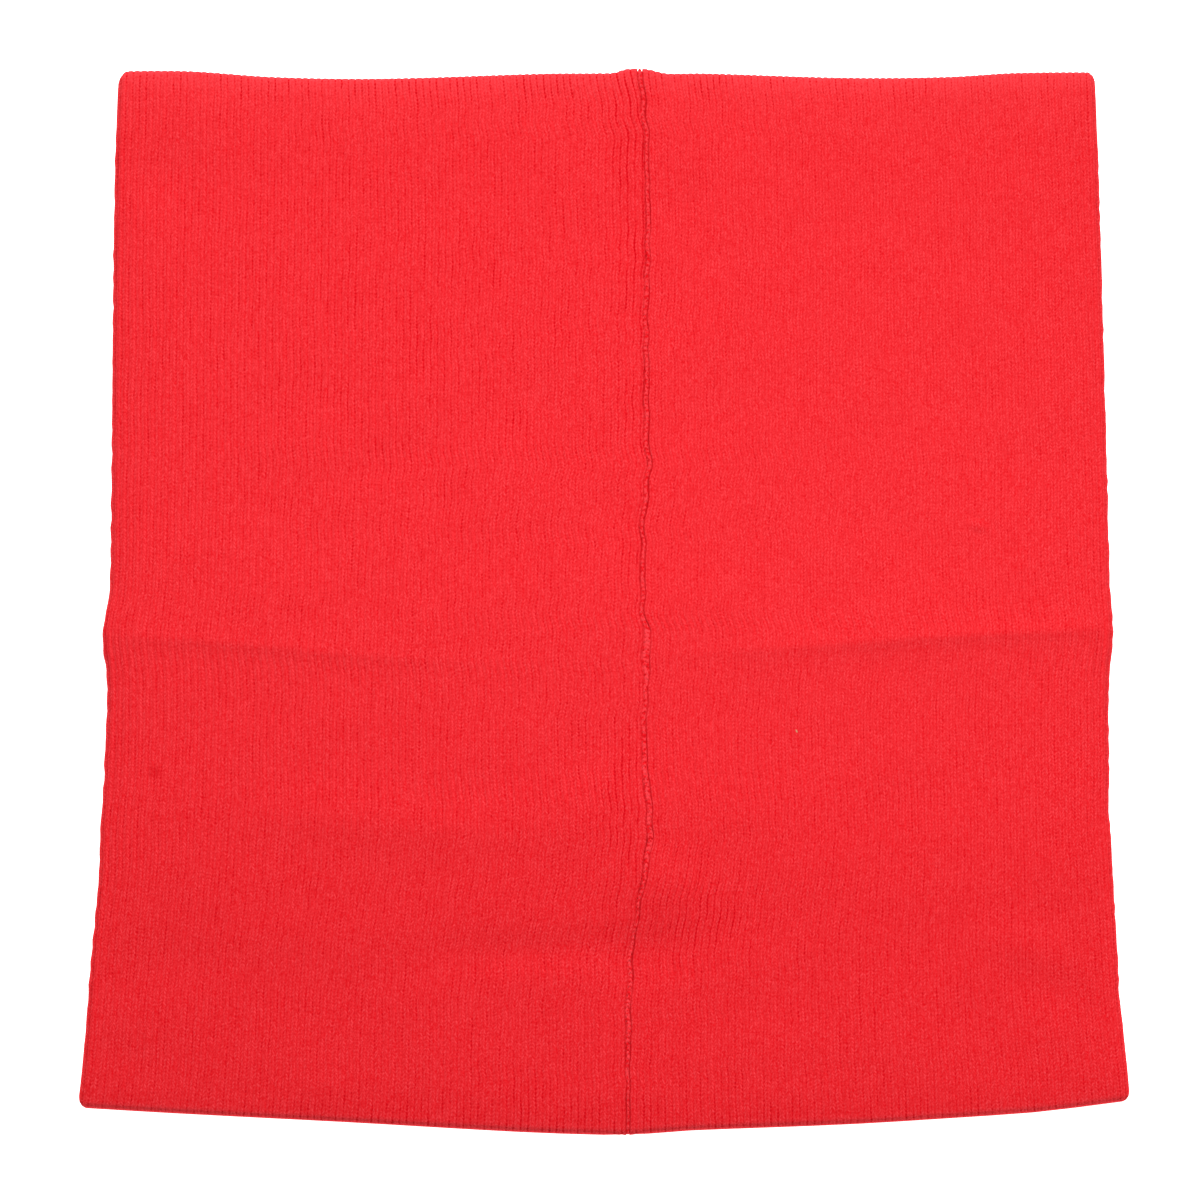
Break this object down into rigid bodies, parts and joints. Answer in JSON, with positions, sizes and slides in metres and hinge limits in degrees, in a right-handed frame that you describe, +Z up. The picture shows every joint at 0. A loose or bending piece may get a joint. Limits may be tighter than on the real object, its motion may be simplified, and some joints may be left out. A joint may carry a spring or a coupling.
{
  "type": "knitted neck warmer",
  "caption": "Rib-knit tube neck warmer laid flat, folded hems at both ends, linked by one chain seam down its upper layer.",
  "frame": {"origin": "on the table, under the middle of the flat-laid tube", "axes": "+Z up from the table, +Y toward the top hem along the tube, +X toward the right side fold as seen from above"},
  "size_m": [0.2716, 0.2846, 0.0087],
  "materials": {
    "knit": "soft matt rib knit",
    "seam_yarn": "matt linked chain stitch"
  },
  "bodies": {
    "root": {"knit_panel": "knit", "seam_chain": "seam_yarn"}
  },
  "joints": []
}
